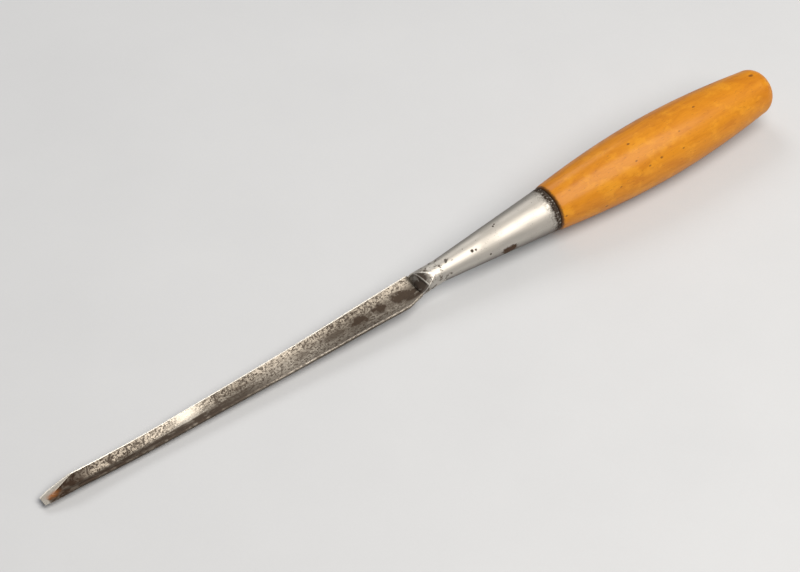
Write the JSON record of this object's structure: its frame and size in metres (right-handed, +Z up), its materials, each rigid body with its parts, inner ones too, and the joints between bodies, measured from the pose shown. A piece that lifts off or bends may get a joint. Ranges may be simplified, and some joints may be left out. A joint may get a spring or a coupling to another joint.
{
  "type": "socket gouge",
  "caption": "Long slim in-cannel socket gouge: tapering channelled steel blade, conical forged socket and barrel-shaped turned boxwood handle with a rounded butt.",
  "frame": {"origin": "centre of the bounding box's bottom, on the surface the tool lies on", "axes": "+X along the tool from the cutting end to the butt, +Y across it, +Z up, out of the blade's channel"},
  "size_m": [0.3498, 0.0272, 0.0275],
  "materials": {
    "blade_steel": "old forged tool steel, warm grey, finely pitted and speckled with dark rust, rims and ground bevel bright",
    "socket_iron": "polished wrought iron, fine lengthwise scratches, a few black pits, dark patina round the mouth",
    "boxwood": "honey-orange boxwood, fine close grain, satin varnish with small dents and darker patches"
  },
  "bodies": {
    "forging": {"blade": "blade_steel", "socket": "socket_iron"},
    "turned_handle": {"handle": "boxwood"}
  },
  "joints": [
    {"name": "handle_pull", "type": "slide", "parent": "forging", "child": "turned_handle", "axis": [0.9996, 0, 0.0299], "range_m": [0, 0.055]}
  ]
}
